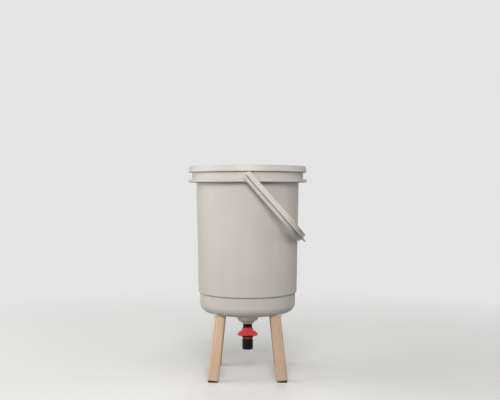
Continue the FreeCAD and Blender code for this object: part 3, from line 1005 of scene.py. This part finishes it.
def make_tap_casing():
    neck = revolved(outline([
        (PORT_RADIUS, TAP_END, 0.3),
        (OUTLET_RADIUS, TAP_END, 0.6),
        (OUTLET_RADIUS, OUTLET_TOP, 1.0),
        (NECK_RADIUS, NECK_Z, 0.8),
        (NECK_RADIUS, NECK_TOP, 0.4),
        (TAIL_CORE, TAIL_Z, 0.4),
        (TAIL_CORE, TAIL_TOP, 0.4),
        (PORT_RADIUS, TAIL_TOP, 0.3),
    ]), TAP_SEGMENTS)
    thread = threaded(TAIL_RADIUS, TAIL_THREAD_DEPTH, TAIL_THREAD, TAP_SEGMENTS)
    barrel = revolved(outline([
        (BARREL_BORE, BARREL_BACK, 0.3),
        (BARREL_RADIUS, BARREL_BACK, 1.2),
        (BARREL_RADIUS, BARREL_GROOVE_EDGES[0], 0.7),
        (BARREL_GROOVE, BARREL_GROOVE_FLAT[0], 0.5),
        (BARREL_GROOVE, BARREL_GROOVE_FLAT[1], 0.5),
        (BARREL_RADIUS, BARREL_GROOVE_EDGES[1], 0.6),
        (BARREL_RADIUS, BARREL_FACE, 0.7),
        (BARREL_FACE_HOLE, BARREL_FACE, 0),
        (BARREL_FACE_HOLE, BARREL_FACE_BACK, 0),
        (BARREL_BORE, BARREL_FACE_BACK, 0),
    ]), TAP_SEGMENTS)
    shells = [neck, thread, moved(barrel, BARREL_PLACE)]
    piece("tap_casing", shells, BLACK, "bin", ["tap_body"])


def notched_collar():
    rings = []
    for z, inset in NOTCH_RINGS:
        radii = []
        for i in range(NOTCH_SEGMENTS):
            wave = math.cos(FULL_TURN * i / NOTCH_SEGMENTS * NOTCH_COUNT)
            radii.append(NOTCH_RADIUS - inset - NOTCH_DEPTH * max(0.0, wave) ** 2)
        rings.append(ring_about(radii, z))
    return lofted(rings, capped=True)


def make_tap_outlet():
    tube = revolved(outline([
        (SPOUT_BORE, SPOUT_Z, 0.6),
        (SPOUT_MOUTH, SPOUT_Z, 0.4),
        (SPOUT_MOUTH, SPOUT_MOUTH_TOP, 0.3),
        (SPOUT_CORE, SPOUT_CORE_Z, 0.2),
        (SPOUT_CORE, SPOUT_TOP, 0),
        (SPOUT_BORE, SPOUT_TOP, 0),
    ]), SPOUT_SEGMENTS)
    thread = threaded(SPOUT_THREAD_RADIUS, SPOUT_THREAD_DEPTH, SPOUT_THREAD, SPOUT_SEGMENTS)
    spigot = revolved(outline([
        (PORT_RADIUS, SPIGOT_Z, 0),
        (SPIGOT_RADIUS, SPIGOT_Z, 0),
        (SPIGOT_RADIUS, SPIGOT_TOP, 0.6),
        (PORT_RADIUS, SPIGOT_TOP, 0.3),
    ]), SPIGOT_SEGMENTS)
    shells = [tube, thread, notched_collar(), spigot]
    piece("tap_outlet", shells, BLACK, "bin", ["tap_spout"])


# Lever: a cushioned plate in front of a slotted hub


def lever_outline():
    """Dome over two wings, seen from the front, heights from the tap's axis."""
    start = math.asin((SHOULDER_RISE - DOME_RISE) / DOME_RADIUS)
    join = DOME_RADIUS * math.cos(start)
    right = [
        (BAR_REACH, BAR_RISE, 0.8),
        (WING_REACH, WING_RISE, 1.3),
        (SHOULDER_REACH, SHOULDER_RISE, 0.8),
        (join + SHOULDER_FLAT, SHOULDER_RISE, 0.9),
    ]
    first = start + DOME_MARGIN
    over = []
    for step in range(DOME_POINTS):
        angle = first + (math.pi - 2 * first) * step / (DOME_POINTS - 1)
        over.append((DOME_RADIUS * math.cos(angle), DOME_RISE + DOME_RADIUS * math.sin(angle), 0))
    left = [(-a, b, rounding) for a, b, rounding in reversed(right)]
    return outline(right + over + left, turn=12.0)


def edge_distance(p, line):
    """Distance from a point to a closed outline."""
    best = math.inf
    for index in range(len(line)):
        first = line[index - 1]
        along = line[index] - first
        share = max(0.0, min(1.0, (p - first).dot(along) / along.length_squared))
        best = min(best, (first + along * share - p).length)
    return best


def inside(p, line):
    """Whether a point lies inside a closed outline."""
    odd = False
    for index in range(len(line)):
        first = line[index - 1]
        second = line[index]
        if (first.y > p.y) != (second.y > p.y):
            if p.x < first.x + (p.y - first.y) / (second.y - first.y) * (second.x - first.x):
                odd = not odd
    return odd


def edge_points(line):
    """Points along rings that follow an outline at small depths inside it."""
    points = []
    for depth in CUSHION_RINGS:
        for index in range(len(line)):
            ahead = line[(index + 1) % len(line)] - line[index - 1]
            p = line[index] + Vector((-ahead.y, ahead.x)).normalized() * depth
            if inside(p, line) and edge_distance(p, line) > depth * CUSHION_SLACK:
                points.append(p)
    return points


def inner_points(line):
    """Points in staggered rows inside an outline, clear of the rings along its edge."""
    points = []
    margin = CUSHION_RINGS[-1] + 0.5 * CUSHION_SPACING
    low = [min(p[axis] for p in line) for axis in (0, 1)]
    high = [max(p[axis] for p in line) for axis in (0, 1)]
    rows = int((high[1] - low[1]) / CUSHION_SPACING) + 1
    columns = int((high[0] - low[0]) / CUSHION_SPACING) + 2
    for row in range(rows):
        for column in range(columns):
            x = low[0] + CUSHION_SPACING * (column + 0.5 * (row % 2))
            p = Vector((x, low[1] + CUSHION_SPACING * (row + 0.5)))
            if inside(p, line) and edge_distance(p, line) > margin:
                points.append(p)
    return points


def cushion(line, rounding, crown):
    """Points, triangles and drops of a face that curves away at its outline like a moulded edge."""
    points = list(line) + edge_points(line) + inner_points(line)
    flat, triangles = triangulated(points, [line], INSIDE_TRIANGLES, CUSHION_TOLERANCE)
    drops = []
    for p in flat:
        depth = edge_distance(p, line)
        short = max(0.0, rounding - depth)
        edge = rounding - math.sqrt(max(0.0, rounding**2 - short**2))
        drops.append(edge + crown * math.exp(-depth / CROWN_FADE))
    return flat, triangles, drops


def nearest(p, points):
    """Index of the point that lies nearest."""
    return min(range(len(points)), key=lambda i: (points[i] - p).length_squared)


def lever_plate():
    """Lever plate between two depths, cushioned in front and lightly eased behind."""
    line = lever_outline()
    verts = []
    faces = []
    rims = []
    for depth, rounding, crown, sense in LEVER_FACES:
        flat, triangles, drops = cushion(line, rounding, crown)
        base = len(verts)
        verts += [(p.x, -depth + sense * drop, TAP_Z + p.y) for p, drop in zip(flat, drops)]
        faces += [tuple(base + i for i in t) for t in triangles]
        rims.append([base + nearest(p, flat) for p in line])
    front, back = rims
    for index in range(len(line)):
        faces.append((front[index - 1], front[index], back[index], back[index - 1]))
    return verts, faces


def lever_hub():
    """Hub disc behind the plate, with a dark slot between the plate and its lower segment."""
    first = math.asin(HUB_SLOT_LOW / HUB_SLOT_RADIUS)
    last = math.asin(HUB_SLOT_HIGH / HUB_SLOT_RADIUS)
    side = [first + (last - first) * step / HUB_SLOT_STEPS for step in range(HUB_SLOT_STEPS + 1)]
    slot = [HUB_SLOT_RADIUS * Vector((math.cos(a), math.sin(a))) for a in side]
    slot += [Vector((-p.x, p.y)) for p in reversed(slot)]

    def open_at(p):
        return p.length > LEVER_HUB_RADIUS or inside(p, slot)

    rim = circle(LEVER_HUB_RADIUS, LEVER_HUB_SEGMENTS)
    verts, faces = pierced([rim, slot], open_at, LEVER_HUB_BACK, LEVER_BACK)
    sloped = []
    for x, y, depth in verts:
        on_rim = math.hypot(x, y) > LEVER_HUB_RADIUS - RIM_SLACK
        sloped.append((x, y, depth - LEVER_HUB_SLOPE if on_rim and depth == LEVER_BACK else depth))
    return moved((sloped, faces), BARREL_PLACE)


def make_lever():
    shells = [lever_plate(), lever_hub()]
    piece("lever_wing", shells, RED, "tap_handle", ["tap_lever"], bevel=LEVER_EASE)


# Nodes of the frame that stay as they are, each with its own finish


def finish_nodes():
    finishes = {
        "leg_bolts": STEEL,
        "leg_inserts": BRASS,
        "tap_washer": RUBBER,
        "tap_plug": WHITE,
        "plug_seals": RUBBER,
        "plug_clip": STEEL,
        "spout_seal": RUBBER,
    }
    for name, material in finishes.items():
        node = frame["nodes"][name]
        node.data.materials.clear()
        node.data.materials.append(material)


# Stage: pale floor that fades into a pale surround, soft lamps and the camera


def make_floor():
    s = Shader("floor")
    where = s.node("ShaderNodeNewGeometry").outputs["Position"]
    apart = s.node("ShaderNodeVectorMath", {0: where}, operation="LENGTH").outputs["Value"]
    far = s.span(apart, FLOOR_FADE, (0.0, 1.0))
    seen = s.seen()
    s.set(Base_Color=s.mix(seen, FLOOR, PALE), Roughness=FLOOR_ROUGHNESS)
    glow = s.node("ShaderNodeEmission", {"Color": PALE, "Strength": 1.0})
    blend = s.choose(s.math("MULTIPLY", far, seen), s.surface.outputs[0], glow.outputs[0])
    s.put(s.tree.nodes["Material Output"].inputs["Surface"], blend)
    mesh = bpy.data.meshes.new("floor")
    mesh.from_pydata(ring_about([FLOOR_RADIUS] * FLOOR_SEGMENTS, 0), [], [tuple(range(FLOOR_SEGMENTS))])
    mesh.materials.append(s.material)
    floor = bpy.data.objects.new("floor", mesh)
    bpy.context.scene.collection.objects.link(floor)


def make_world():
    """Faint even light on the object, and a pale surround where the camera looks."""
    world = bpy.data.worlds.new("studio")
    bpy.context.scene.world = world
    world.use_nodes = True
    sky = Nodes(world.node_tree)
    ambient = sky.tree.nodes["Background"]
    sky.put(ambient.inputs["Color"], AMBIENT)
    sky.put(ambient.inputs["Strength"], AMBIENT_STRENGTH)
    surround = sky.node("ShaderNodeBackground", {"Color": PALE, "Strength": 1.0})
    shown = sky.choose(sky.seen(), ambient.outputs[0], surround.outputs[0])
    sky.put(sky.tree.nodes["World Output"].inputs["Surface"], shown)


def softbox(name, at, aim, size, power, tint=(1.0, 1.0, 1.0)):
    """Rectangular lamp at a point, aimed at another, with its size in metres and power in watts."""
    light = bpy.data.lights.new(name, "AREA")
    light.shape = "RECTANGLE"
    light.size, light.size_y = size
    light.energy = power
    light.color = tint
    lamp = bpy.data.objects.new(name, light)
    lamp.location = at
    lamp.rotation_euler = (Vector(aim) - Vector(at)).to_track_quat("-Z", "Y").to_euler()
    bpy.context.scene.collection.objects.link(lamp)


def make_lamps():
    softbox("front", at=(-0.02, -1.35, 0.95), aim=(0, 0, 0.34), size=(0.6, 0.5), power=12.1,
            tint=(1.0, 0.99, 0.975))
    softbox("low", at=(-0.8, -1.5, 0.22), aim=(0, 0, 0.1), size=(0.6, 0.3), power=2.5)
    softbox("left", at=(-1.8, -0.02, 0.8), aim=(0, 0, 0.25), size=(1.7, 0.8), power=18.5)
    softbox("right", at=(1.9, -0.2, 0.6), aim=(0, 0, 0.3), size=(0.7, 0.8), power=5.0)
    softbox("top", at=(0.15, -0.6, 2.2), aim=(0, 0, 0.3), size=(0.8, 0.8), power=9)
    softbox("back", at=(0.1, 2.1, 1.1), aim=(0, 0, 0.3), size=(1.0, 0.8), power=14)


def make_camera():
    camera = bpy.data.cameras.new("camera")
    camera.sensor_fit = "HORIZONTAL"
    camera.sensor_width = SENSOR_WIDTH
    camera.lens = FOCAL_PIXELS / IMAGE_WIDTH * SENSOR_WIDTH
    camera.shift_x = (IMAGE_WIDTH / 2 - AXIS_COLUMN) / IMAGE_WIDTH
    camera.shift_y = (HORIZON_ROW - IMAGE_HEIGHT / 2) / IMAGE_WIDTH
    camera.clip_end = CLIP_END
    viewer = bpy.data.objects.new("camera", camera)
    viewer.location = CAMERA_PLACE
    viewer.rotation_euler = (math.pi / 2, 0, 0)
    bpy.context.scene.collection.objects.link(viewer)
    bpy.context.scene.camera = viewer


make_bucket()
make_bowl()
make_sump()
make_legs()
make_bail()
make_strainer()
make_tap_casing()
make_tap_outlet()
make_lever()
finish_nodes()
make_floor()
make_world()
make_lamps()
make_camera()
bpy.context.scene.view_settings.view_transform = "Standard"
